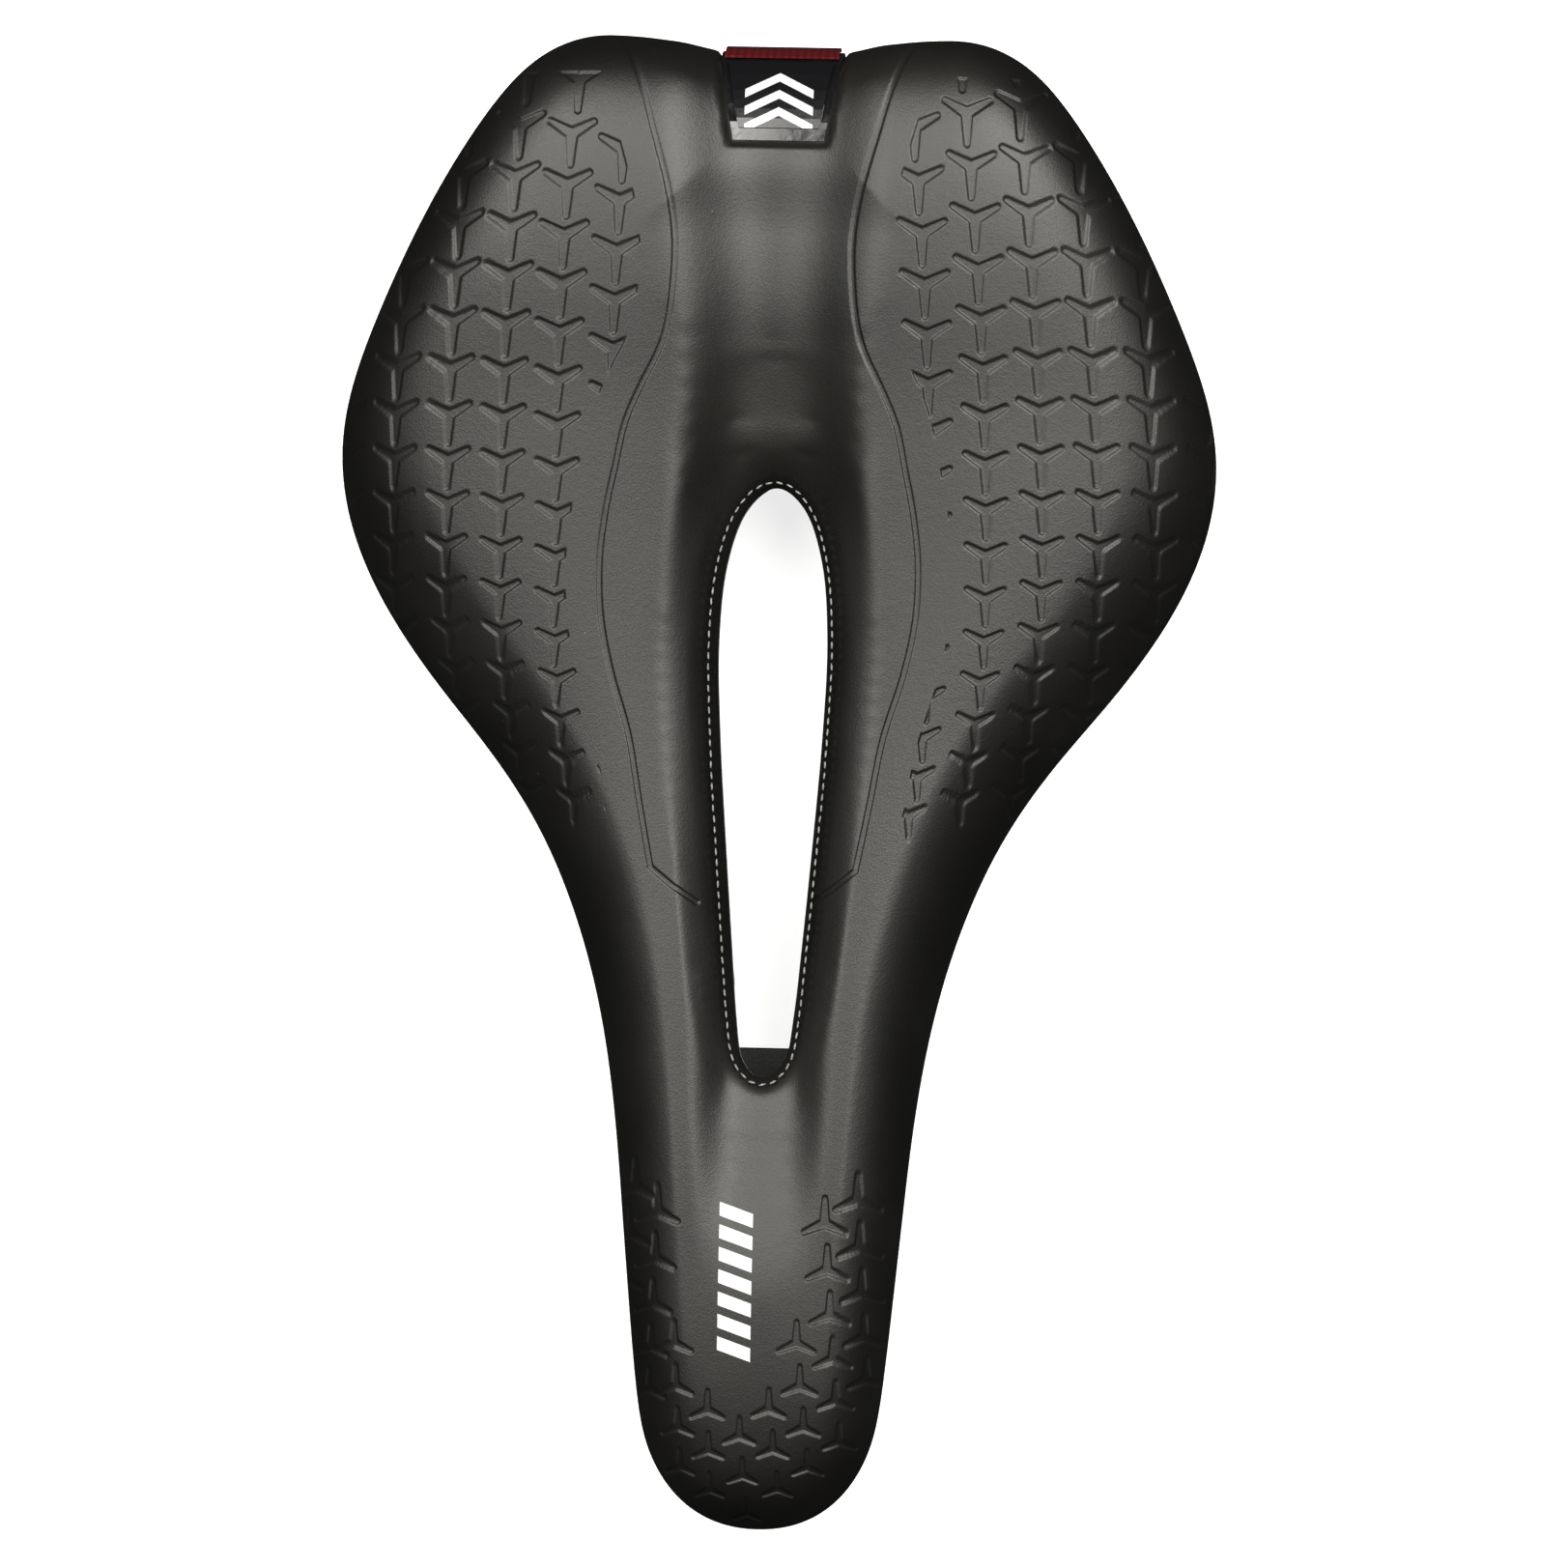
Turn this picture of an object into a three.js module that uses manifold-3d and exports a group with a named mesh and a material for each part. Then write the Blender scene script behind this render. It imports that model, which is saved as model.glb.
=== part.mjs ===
// Short-nosed sport saddle with a relief slot, on a hairpin steel rail.
// Millimetres, +Z up, nose towards -Y, rider's right at +X.
// The origin is the middle of the seatpost clamp zone, on the centre plane of the rail.
import * as THREE from "three";
import { mergeVertices } from "three/addons/utils/BufferGeometryUtils.js";
import Module from "manifold-3d";

// ---------- driving dimensions ----------
const GAP = 0.4; // clearance kept between pieces that touch
const SKIN = 1.1; // thickness of the cover and of the slot lining
const SHELL = 3; // thickness of the moulded base
const HALF_SECTIONS = 40; // cross-sections from the tail to the nose tip, on one side

// Plan outlines of the right-hand half, from the tail centre to the nose.
const RIM_OUTLINE = [
  [0, 117.1], [9, 117.3], [14, 118.4], [21, 119.7], [30, 120.5], [38.6, 117.4], [44.9, 111.1],
  [55.2, 95.4], [64.3, 76.6], [70.4, 60], [71.2, 48], [66.5, 32.8], [57, 18], [43.3, 1.5], [35.6, -11.1],
  [28.6, -29.9], [24.8, -48.6], [21.9, -76.8], [20, -96], [18.2, -107], [13.2, -115.4],
  [6.8, -119.5], [0, -120.5],
];
const SLOT_OUTLINE = [
  [0, 48.6], [4.6, 45.2], [7.8, 36.5], [9, 23.5], [8.5, 8], [7.2, -10], [5.9, -26], [4.8, -38],
  [3.6, -44.6], [0, -47.8],
];

// Heights and widths that change along the length, as [y, value] stations from tail to nose.
const CREST_Z = profile([
  [120, 48.8], [105, 50.8], [85, 50], [60, 47], [30, 44.6], [0, 43.4], [-40, 43], [-75, 42.3],
  [-100, 40.4], [-120, 36],
]);
const CREST_X = profile([
  [120, 18], [100, 16.5], [80, 14.5], [65, 15], [50, 17], [24, 17.5], [-10, 15.5], [-50, 12.5],
  [-75, 11.5],
]);
const FLOOR_X = profile([[120, 11.5], [100, 9], [78, 6.6], [60, 6], [45, 8], [-50, 5], [-75, 4]]);
const VALLEY_DEPTH = profile([
  [120, 5.8], [100, 6.2], [75, 6], [60, 8], [50, 7.4], [40, 4.4], [20, 2.6], [-30, 2.4],
  [-48, 3.6], [-60, 2.6], [-72, 1], [-80, 0],
]);
const WALL_EASE = 1.45; // above 1, the valley's wall steepens towards its floor
const SPAN = profile([
  [120, 58], [90, 64], [50, 71], [25, 63], [0, 44], [-30, 29], [-60, 23.5], [-120, 20],
]);
const OUTER_FALL = profile([
  [120, 4], [90, 6], [50, 8.5], [20, 9], [0, 7.5], [-30, 4], [-60, 2], [-120, 1.5],
]);
const SLOT_ROLL = profile([
  [50, 10], [40, 8.5], [24, 8], [-10, 7.4], [-34, 6.4], [-44, 4.5], [-48, 3.6],
]);
const SLOT_DROP = profile([[50, 9], [30, 9.4], [-10, 9], [-30, 8], [-42, 5.4], [-48, 4]]);
const RIM_ROLL = profile([
  [120, 9], [100, 12], [50, 13], [20, 14], [0, 13], [-30, 11], [-60, 9.5], [-120, 9],
]);
const RIM_DROP = profile([[120, 8], [100, 9], [50, 10], [0, 13], [-30, 13], [-60, 12], [-120, 11]]);
const HEM_Z = profile([
  [120, 26.4], [100, 25.5], [60, 20.5], [30, 17.5], [0, 15], [-40, 13], [-100, 13.5], [-120, 15.5],
]);

const RIM_TUCK = 2.5; // how far the side wall leans in by the time it reaches the hem
const HEM_LEG = 3.6; // height of the hem turned up inside the shell flange
const HEM_LEAN = 1.2; // how far that leg leans in at its top
const HEM_CORNER = 0.8; // how far the hem's lower corners are cut back
const FLANGE_INSET = RIM_TUCK + SKIN + GAP;
const PAD_AT_SLOT = 7.5; // from the cover's slot edge down to the shell
const PAD_AT_RIM = 11;
const LINING_FLANGE = 5;
const THREAD = 0.5; // width of the sewing thread
const STITCH_INSET = 1.6; // stitch line, outside the slot edge

const RAIL_DIAMETER = 7;
const RAIL_SPACING = 44;
const RAIL_SIDES = 12;
const RISE_STEPS = 9; // straight pieces from a rear socket down to the clamp zone
const BEND_STEPS = 14; // straight pieces from the clamp zone round to the middle of the bend
const CLAMP_HALF_LENGTH = 38; // the straight zone runs this far each way from the origin
const SCREW = { shank: 2, head: 3.9, headHeight: 2.4, chamfer: 0.7, key: 1.5, keyDepth: 1.5, sides: 12 };
const HOLE_TOP = 60; // holes for screws run from the rail plane to well above the seat

// ---------- small tools ----------
// A smooth curve through [y, value] stations listed by falling y, flat beyond both ends.
function profile(stations) {
  const last = stations.length - 1;
  const slope = (i) => {
    const a = stations[Math.max(i - 1, 0)];
    const b = stations[Math.min(i + 1, last)];
    return (b[1] - a[1]) / (b[0] - a[0]);
  };
  return (y) => {
    if (y >= stations[0][0]) return stations[0][1];
    if (y <= stations[last][0]) return stations[last][1];
    const i = stations.findIndex(([s]) => s < y) - 1;
    const [y0, v0] = stations[i];
    const [y1, v1] = stations[i + 1];
    const h = y1 - y0;
    const t = (y - y0) / h;
    const ease = t * t * (3 - 2 * t);
    const leave = t * (1 - t) * (1 - t) * h * slope(i);
    const arrive = t * t * (t - 1) * h * slope(i + 1);
    return v0 + (v1 - v0) * ease + leave + arrive;
  };
}

function mix(a, b, t) {
  return a + (b - a) * t;
}

function mirrored([x, y, z]) {
  return [-x, y, z];
}

// A solid from loops of points: each loop joins the next, and the last joins the first
// (ring true) or both ends are capped by a fan (ring false). Faces are turned to point out.
function loft(loops, ring) {
  const sides = loops[0].length;
  const points = loops.flat();
  const distance = (a, b) => Math.hypot(...points[a].map((v, axis) => v - points[b][axis]));
  const index = [];
  const spans = ring ? loops.length : loops.length - 1;
  for (let i = 0; i < spans; i++) {
    const next = (i + 1) % loops.length;
    for (let j = 0; j < sides; j++) {
      const k = (j + 1) % sides;
      const [a, b, c, d] = [i * sides + j, i * sides + k, next * sides + k, next * sides + j];
      if (distance(a, c) <= distance(b, d)) index.push(a, b, c, a, c, d);
      else index.push(a, b, d, b, c, d);
    }
  }
  if (!ring) {
    const end = (loops.length - 1) * sides;
    for (let j = 1; j < sides - 1; j++) {
      index.push(0, j + 1, j, end, end + j, end + j + 1);
    }
  }
  const geometry = new THREE.BufferGeometry();
  geometry.setAttribute("position", new THREE.Float32BufferAttribute(points.flat(), 3));
  geometry.setIndex(index);
  return facingOut(geometry);
}

function facingOut(geometry) {
  const p = geometry.getAttribute("position");
  const index = geometry.index.array;
  const [a, b, c] = [new THREE.Vector3(), new THREE.Vector3(), new THREE.Vector3()];
  let volume = 0;
  for (let i = 0; i < index.length; i += 3) {
    a.fromBufferAttribute(p, index[i]);
    b.fromBufferAttribute(p, index[i + 1]);
    c.fromBufferAttribute(p, index[i + 2]);
    volume += a.dot(b.cross(c));
  }
  if (volume < 0) index.reverse();
  return geometry;
}

// A section of [side, up] points carried along a route, kept level with +Z.
function sweep(route, section) {
  const up = new THREE.Vector3(0, 0, 1);
  const loops = route.map((point, i) => {
    const before = route[Math.max(i - 1, 0)];
    const after = route[Math.min(i + 1, route.length - 1)];
    const along = after.clone().sub(before).normalize();
    const side = along.clone().cross(up).normalize();
    const lift = side.clone().cross(along);
    return section.map(([s, l]) =>
      point.clone().addScaledVector(side, s).addScaledVector(lift, l).toArray(),
    );
  });
  return loft(loops, false);
}

// A regular polygon with a flat at its lowest side, sized across its flats.
function flatBottomedPolygon(acrossFlats, sides) {
  const radius = acrossFlats / 2 / Math.cos(Math.PI / sides);
  return Array.from({ length: sides }, (_, i) => {
    const angle = ((2 * i + 1) * Math.PI) / sides - Math.PI / 2;
    return [radius * Math.cos(angle), radius * Math.sin(angle)];
  });
}

// An upright prism from an XY outline.
function prism(outline, z0, z1) {
  return loft([z0, z1].map((z) => outline.map(([x, y]) => [x, y, z])), false);
}

function roundedRectangle(x0, x1, y0, y1, radius) {
  const shape = new THREE.Shape();
  shape.absarc(x1 - radius, y1 - radius, radius, 0, Math.PI / 2);
  shape.absarc(x0 + radius, y1 - radius, radius, Math.PI / 2, Math.PI);
  shape.absarc(x0 + radius, y0 + radius, radius, Math.PI, 1.5 * Math.PI);
  shape.absarc(x1 - radius, y0 + radius, radius, 1.5 * Math.PI, 2 * Math.PI);
  return shape.getPoints(4).slice(0, -1).map((p) => [p.x, p.y]);
}

// ---------- booleans ----------
const wasm = await Module();
wasm.setup();

function solid(geometry) {
  const bare = new THREE.BufferGeometry();
  bare.setAttribute("position", geometry.getAttribute("position"));
  bare.setIndex(geometry.index);
  const merged = mergeVertices(bare, 1e-4);
  const vertProperties = new Float32Array(merged.getAttribute("position").array);
  const triVerts = new Uint32Array(merged.index.array);
  return new wasm.Manifold(new wasm.Mesh({ numProp: 3, vertProperties, triVerts }));
}

function geometryOf(manifold) {
  const mesh = manifold.getMesh();
  const geometry = new THREE.BufferGeometry();
  geometry.setAttribute("position", new THREE.BufferAttribute(mesh.vertProperties, 3));
  geometry.setIndex(new THREE.BufferAttribute(mesh.triVerts, 1));
  return geometry;
}

function cut(geometry, ...tools) {
  return geometryOf(tools.reduce((body, tool) => body.subtract(solid(tool)), solid(geometry)));
}

function join(geometry, ...others) {
  return geometryOf(others.reduce((body, other) => body.add(solid(other)), solid(geometry)));
}

// ---------- the shape of the seat ----------
// A closed plan curve through a right-hand half outline and its mirror image.
function planCurve(half) {
  const left = half.slice(1, -1).reverse().map(([x, y]) => [-x, y]);
  const points = half.concat(left).map(([x, y]) => new THREE.Vector3(x, y, 0));
  const curve = new THREE.CatmullRomCurve3(points, true, "centripetal");
  curve.arcLengthDivisions = 2000;
  return curve;
}

const rimCurve = planCurve(RIM_OUTLINE);
const slotCurve = planCurve(SLOT_OUTLINE);

// Sections sit closer together at the tail and at the nose, where the outline turns.
const RIM_CROWDING = 0.4;
const SLOT_CROWDING = 0.25;
function spread(t, amount) {
  return t - (amount * Math.sin(2 * Math.PI * t)) / (2 * Math.PI);
}

// A point `out` mm outside a plan curve, at t from 0 (tail) to 1 (nose).
function beside(curve, t, out) {
  const p = curve.getPointAt(t / 2);
  const along = curve.getTangentAt(t / 2);
  return [p.x - along.y * out, p.y + along.x * out];
}

// Height of the seat surface, before its edges roll over.
function topZ(x, y) {
  const across = Math.abs(x);
  const crest = CREST_X(y);
  if (across > crest) {
    const reach = (across - crest) / (SPAN(y) - crest);
    return CREST_Z(y) - OUTER_FALL(y) * reach * reach;
  }
  const floor = FLOOR_X(y);
  const t = Math.min((crest - across) / (crest - floor), 1) ** WALL_EASE;
  return CREST_Z(y) - VALLEY_DEPTH(y) * t * t * (3 - 2 * t);
}

// One right-hand cross-section frame: where it leaves the slot and where it meets the rim.
function station(i) {
  const t = i / HALF_SECTIONS;
  const rimT = spread(t, RIM_CROWDING);
  const slotT = spread(t, SLOT_CROWDING);
  const rim = (out) => beside(rimCurve, rimT, out);
  const slot = (out) => beside(slotCurve, slotT, out);
  const rimY = rim(0)[1];
  const slotY = slot(0)[1];
  const slotZ = topZ(...slot(0)) - SLOT_DROP(slotY);
  return { rim, slot, rimY, slotY, slotZ };
}

const SLOT_STEPS = 4;
const FIELD_STEPS = 14;
const RIM_STEPS = 5;
const WALL_STEPS = 3;
const FIELD_EASE = 1.25; // above 1, points of the field sit closer together near the slot

// Outer surface of the cover along one section, from inside the slot to the hem.
function skinSection({ rim, slot, rimY, slotY, slotZ }) {
  const points = [[...slot(0), slotZ - SKIN]];
  const quarter = Math.PI / 2;
  const slotRoll = SLOT_ROLL(slotY);
  for (let k = 0; k < SLOT_STEPS; k++) {
    const angle = (quarter * k) / SLOT_STEPS;
    const p = slot(slotRoll * (1 - Math.cos(angle)));
    points.push([...p, topZ(...p) - SLOT_DROP(slotY) * (1 - Math.sin(angle))]);
  }
  const inner = slot(slotRoll);
  const rimRoll = RIM_ROLL(rimY);
  const outer = rim(-rimRoll);
  for (let k = 0; k < FIELD_STEPS; k++) {
    const w = (k / FIELD_STEPS) ** FIELD_EASE;
    const p = [mix(inner[0], outer[0], w), mix(inner[1], outer[1], w)];
    points.push([...p, topZ(...p)]);
  }
  for (let k = 0; k <= RIM_STEPS; k++) {
    const angle = (quarter * k) / RIM_STEPS;
    const p = rim(-rimRoll * (1 - Math.sin(angle)));
    points.push([...p, topZ(...p) - RIM_DROP(rimY) * (1 - Math.cos(angle))]);
  }
  const rimZ = points.at(-1)[2];
  for (let k = 1; k <= WALL_STEPS; k++) {
    const w = k / WALL_STEPS;
    points.push([...rim(-RIM_TUCK * w * w), mix(rimZ, HEM_Z(rimY) + SKIN, w)]);
  }
  return points;
}

const SKIN_POINTS = 1 + SLOT_STEPS + FIELD_STEPS + RIM_STEPS + 1 + WALL_STEPS;
const RIM_POINT = SKIN_POINTS - 1 - WALL_STEPS;
const stations = Array.from({ length: HALF_SECTIONS + 1 }, (_, i) => station(i));
const skin = stations.map(skinSection);

// The unit normal of the skin grid at section i, point j, pointing out of the saddle.
function skinNormal(i, j) {
  const mirrorEnd = (k) => (k < 0 ? mirrored(skin[-k][j]) : mirrored(skin[2 * HALF_SECTIONS - k][j]));
  const beyond = (k) => (k < 0 || k > HALF_SECTIONS ? mirrorEnd(k) : skin[k][j]);
  const round = new THREE.Vector3(...beyond(i + 1)).sub(new THREE.Vector3(...beyond(i - 1)));
  const across = new THREE.Vector3(...skin[i][Math.min(j + 1, SKIN_POINTS - 1)]);
  across.sub(new THREE.Vector3(...skin[i][Math.max(j - 1, 0)]));
  return round.cross(across).normalize();
}

// The skin moved inwards by a depth, at one grid point.
function skinAt(i, j, depth) {
  const normal = skinNormal(i, j);
  return new THREE.Vector3(...skin[i][j]).addScaledVector(normal, -depth).toArray();
}

// A ring-shaped solid from a right-hand section function of the station number.
function ringSolid(section) {
  const right = stations.map((_, i) => section(i));
  const left = right.slice(1, -1).reverse().map((loop) => loop.map(mirrored));
  return loft(right.concat(left), true);
}

// Grid points that the inner face of the cover and the outer face of the pad share.
const PAD_POINTS = [0, 2, 4, 6, 8, 10, 12, 15, 18, 20, 22, RIM_POINT + 1];

function coverSection(i) {
  const { rim, rimY } = stations[i];
  const hem = HEM_Z(rimY);
  const inner = RIM_TUCK + SHELL + 2 * (SKIN + GAP);
  const turnedUp = [
    [...rim(-RIM_TUCK - HEM_CORNER), hem],
    [...rim(-inner + HEM_CORNER), hem],
    [...rim(-inner), hem + SKIN],
    [...rim(-inner - HEM_LEAN), hem + HEM_LEG],
    [...rim(SKIN - inner - HEM_LEAN), hem + HEM_LEG],
    [...rim(SKIN - inner), hem + SKIN],
    [...rim(-RIM_TUCK - SKIN), hem + SKIN],
  ];
  const inside = [...PAD_POINTS].reverse().map((j) => skinAt(i, j, SKIN));
  return [...skin[i], ...turnedUp, ...inside];
}

function liningSection(i) {
  const { slot, slotZ } = stations[i];
  const top = slotZ - SKIN - GAP;
  const foot = slotZ - PAD_AT_SLOT - SHELL - 3 * GAP;
  return [
    [...slot(0), top],
    [...slot(0), foot - SKIN],
    [...slot(LINING_FLANGE), foot - SKIN],
    [...slot(LINING_FLANGE), foot],
    [...slot(SKIN), foot],
    [...slot(SKIN), top],
  ];
}

// The sewing thread runs on the skin round the slot, as one cord of square section.
function threadSection(i) {
  const { slot, slotY, slotZ } = stations[i];
  const angle = Math.acos(1 - STITCH_INSET / SLOT_ROLL(slotY));
  const p = slot(STITCH_INSET);
  const seat = topZ(...p) - SLOT_DROP(slotY) * (1 - Math.sin(angle)) + GAP;
  const z = Math.max(seat, slotZ);
  return [
    [...slot(STITCH_INSET - THREAD - GAP), z],
    [...slot(STITCH_INSET - GAP), z],
    [...slot(STITCH_INSET - GAP), z + THREAD],
    [...slot(STITCH_INSET - THREAD - GAP), z + THREAD],
  ];
}

const SHELL_FIELD = 4;
const SHELL_EDGE = 3;

// Top face of the shell as [point, lean] pairs, where lean is 0 for level and 1 for upright.
function shellTop({ rim, slot, rimY, slotZ }) {
  const inner = slot(SKIN + GAP);
  const roll = RIM_ROLL(rimY);
  const outer = rim(-roll);
  const zInner = slotZ - PAD_AT_SLOT;
  const zOuter = topZ(...outer) - PAD_AT_RIM;
  const zFoot = HEM_Z(rimY) + SKIN + GAP;
  const points = [];
  for (let k = 0; k < SHELL_FIELD; k++) {
    const w = k / SHELL_FIELD;
    const at = [mix(inner[0], outer[0], w), mix(inner[1], outer[1], w)];
    points.push({ at, z: mix(zInner, zOuter, w), lean: 0 });
  }
  for (let k = 0; k <= SHELL_EDGE; k++) {
    const angle = (Math.PI / 2) * (k / SHELL_EDGE);
    const inset = mix(roll, FLANGE_INSET, Math.sin(angle));
    points.push({ at: rim(-inset), z: mix(zFoot, zOuter, Math.cos(angle)), lean: angle, inset });
  }
  return points;
}

// A shell-top point moved down and inwards by a depth.
function below({ at, z, lean, inset }, depth, rim) {
  const p = lean > 0 ? rim(-inset - depth * Math.sin(lean)) : at;
  return [...p, z - depth * Math.cos(lean)];
}

function shellSection(i) {
  const top = shellTop(stations[i]);
  const upper = top.map((point) => below(point, 0, stations[i].rim));
  const lower = top.map((point) => below(point, SHELL, stations[i].rim));
  return [...upper, ...lower.reverse()];
}

function padSection(i) {
  const outer = PAD_POINTS.map((j) => skinAt(i, j, SKIN + GAP));
  const base = shellTop(stations[i]).slice(0, -1);
  const under = base.reverse().map((point) => below(point, -GAP, stations[i].rim));
  return [...outer, ...under];
}

// ---------- rail ----------
// The right-hand leg from its rear socket to the nose bend; the left leg mirrors it.
function railRoute() {
  const half = RAIL_SPACING / 2;
  const rise = new THREE.CatmullRomCurve3(
    [
      [half + 5, 96, 22.5], [half + 4.6, 86, 20.6], [half + 2.6, 70, 11.5],
      [half + 0.4, 52, 1.6], [half, CLAMP_HALF_LENGTH, 0],
    ].map((p) => new THREE.Vector3(...p)),
  );
  const front = new THREE.CatmullRomCurve3(
    [
      [half, -CLAMP_HALF_LENGTH, 0], [half - 2.6, -50, 1.2], [half - 9, -64, 5],
      [half - 13, -76, 10.5], [half - 15.4, -86, 15], [half - 17.4, -93, 16.8], [0, -96.5, 17.2],
    ].map((p) => new THREE.Vector3(...p)),
  );
  const right = [...rise.getPoints(RISE_STEPS), ...front.getPoints(BEND_STEPS)];
  const left = right.slice(0, -1).reverse().map((p) => new THREE.Vector3(-p.x, p.y, p.z));
  return [...right, ...left];
}

const railPath = railRoute();
const railSolid = sweep(railPath, flatBottomedPolygon(RAIL_DIAMETER, RAIL_SIDES));
const railClearance = sweep(railPath, flatBottomedPolygon(RAIL_DIAMETER + 2 * GAP, RAIL_SIDES));

// ---------- screws ----------
// A socket-head screw standing upright, head down, with its head's upper face at z.
function screwSolid(x, y, z, length) {
  const { shank, head, headHeight, chamfer, sides } = SCREW;
  const outline = [
    [0, -headHeight], [head - chamfer, -headHeight], [head, -headHeight + chamfer], [head, 0],
    [shank, 0], [shank, length - chamfer], [shank - chamfer, length], [0, length],
  ].map(([r, h]) => new THREE.Vector2(r, h));
  const body = new THREE.LatheGeometry(outline, sides).rotateX(Math.PI / 2);
  const key = new THREE.CylinderGeometry(SCREW.key, SCREW.key, 2 * SCREW.keyDepth, 6);
  key.rotateX(Math.PI / 2);
  key.translate(0, 0, -headHeight);
  return cut(body, key).translate(x, y, z);
}

function screwHole([x, y]) {
  const radius = SCREW.shank + GAP;
  const hole = new THREE.CylinderGeometry(radius, radius, HOLE_TOP, SCREW.sides);
  return hole.rotateX(Math.PI / 2).translate(x, y, HOLE_TOP / 2);
}

// ---------- rail clips, bumpers and the shell they are screwed to ----------
const CLIP_TOP = { rear: 26.4, nose: 21.4 };
const BUMPER = 1.6; // thickness of the elastomer between a clip and the shell, at its thinnest
const BUMPER_CROWN = 2.2; // how much higher a bumper may rise where the shell leaves room
const REAR_CLIP = { x0: 13.5, x1: 38.5, y0: 78, y1: 100, z0: 15.5, corner: 3 };
const NOSE_CLIP = { z0: 11.5, rearHalf: 12, frontHalf: 9, y0: -101, y1: -42.7, corner: 2 };
const REAR_SCREWS = [[34, 92.5], [17.8, 84]];
const NOSE_SCREWS = [[0, -62], [0, -80]];
const SCREW_TOP = 3.2; // how far a screw reaches above its clip's top
const RIB = { thick: 1.8, depth: 4, root: 1.2, steps: 8 };

const plainShell = ringSolid(shellSection);

// A stiffening rib under the shell: a wall between two [x, y] points, following its underside.
function rib(from, to) {
  const { steps, root, depth } = RIB;
  const direction = new THREE.Vector2(to[0] - from[0], to[1] - from[1]).normalize();
  const side = [-direction.y * (RIB.thick / 2), direction.x * (RIB.thick / 2)];
  const loops = Array.from({ length: steps + 1 }, (_, k) => {
    const [x, y] = [mix(from[0], to[0], k / steps), mix(from[1], to[1], k / steps)];
    const z = undersideZ(x, y);
    return [[1, root], [-1, root], [-1, -depth], [1, -depth]].map(([s, dz]) => [
      x + s * side[0], y + s * side[1], z + dz,
    ]);
  });
  return loft(loops, false);
}

// Height of the shell's underside, read from the shell itself by a ray from below.
const probe = new THREE.Mesh(plainShell, new THREE.MeshBasicMaterial({ side: THREE.DoubleSide }));
function undersideZ(x, y) {
  const ray = new THREE.Raycaster(new THREE.Vector3(x, y, -50), new THREE.Vector3(0, 0, 1));
  return ray.intersectObject(probe)[0].point.z;
}

function buildShell() {
  const ribs = [];
  for (const s of [1, -1]) {
    ribs.push(rib([s * 45, 79], [s * 20, 66]));
    ribs.push(rib([s * 56, 62], [s * 15, 44]));
    ribs.push(rib([s * 56, 44], [s * 15, 20]));
    ribs.push(rib([s * 38, 13], [s * 14, -4]));
    ribs.push(rib([s * 24, -9], [s * 12.5, -24]));
  }
  ribs.push(rib([0, 59], [0, 104]));
  const screws = [...rearScrews(1), ...rearScrews(-1), ...NOSE_SCREWS];
  return cut(join(plainShell, ...ribs), ...screws.map(screwHole));
}

// A pad that fills the space from a flat clip top up to the shell.
function bumper(outline, clipTop, screws) {
  const block = prism(outline, clipTop + GAP, clipTop + GAP + BUMPER + BUMPER_CROWN);
  const lowered = plainShell.clone().translate(0, 0, -GAP);
  return cut(block, lowered, ...screws.map(screwHole));
}

function rearScrews(side) {
  return REAR_SCREWS.map(([x, y]) => [side * x, y]);
}

function rearOutline(side) {
  const { x0, x1, y0, y1, corner } = REAR_CLIP;
  const ends = side > 0 ? [x0, x1] : [-x1, -x0];
  return roundedRectangle(...ends, y0, y1, corner);
}

// Rear clip: a moulded block with a blind socket for the rail end, held by two screws.
function rearClip(side) {
  const block = prism(rearOutline(side), REAR_CLIP.z0, CLIP_TOP.rear);
  return cut(block, railClearance, ...rearScrews(side).map(screwHole));
}

function rearBumper(side) {
  return bumper(rearOutline(side), CLIP_TOP.rear, rearScrews(side));
}

// Plan of the nose clip: a tapered block with cut corners, wide end to the rear.
function noseOutline(y1) {
  const { rearHalf, frontHalf, y0, corner } = NOSE_CLIP;
  const right = [
    [rearHalf - corner, y1], [rearHalf, y1 - corner],
    [frontHalf, y0 + 2 * corner], [frontHalf - 2 * corner, y0],
  ];
  return [...right, ...right.reverse().map(([x, y]) => [-x, y])];
}

// Nose clip: a block round the rail's bend; its rear edge shows through the slot.
function noseClip() {
  const block = prism(noseOutline(NOSE_CLIP.y1), NOSE_CLIP.z0, CLIP_TOP.nose);
  return cut(block, railClearance, ...NOSE_SCREWS.map(screwHole));
}

function noseBumper() {
  const liningEnd = slotCurve.getPointAt(0.5).y - LINING_FLANGE;
  return bumper(noseOutline(liningEnd - 2 * GAP), CLIP_TOP.nose, NOSE_SCREWS);
}

// ---------- tail badge ----------
const BADGE = { yFront: 103.6, frontHalf: 7.3, rearHalf: 9.8, thick: 0.9, lift: 0.45 };
// Each runs between two shares of the badge's length, set in from its sides.
const LABEL = { from: 0.08, to: 0.58, inset: 1.2, thick: 0.3 };
const REFLECTOR = { from: 0.64, to: 0.96, inset: 0.6, thick: 0.4 };
const PLATE_STEPS = 8;

// The skin's centre line at a height above it, from the badge's front end over the tail edge.
function tailLine(lift) {
  const line = skin[0].slice(0, RIM_POINT + 2).map((_, j) => skinAt(0, j, -lift).slice(1));
  const first = line.findIndex(([y], j) => j > SLOT_STEPS && y > BADGE.yFront);
  const [[ya, za], [yb, zb]] = [line[first - 1], line[first]];
  const zFront = mix(za, zb, (BADGE.yFront - ya) / (yb - ya));
  return [[BADGE.yFront, zFront], ...line.slice(first)];
}

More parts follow.
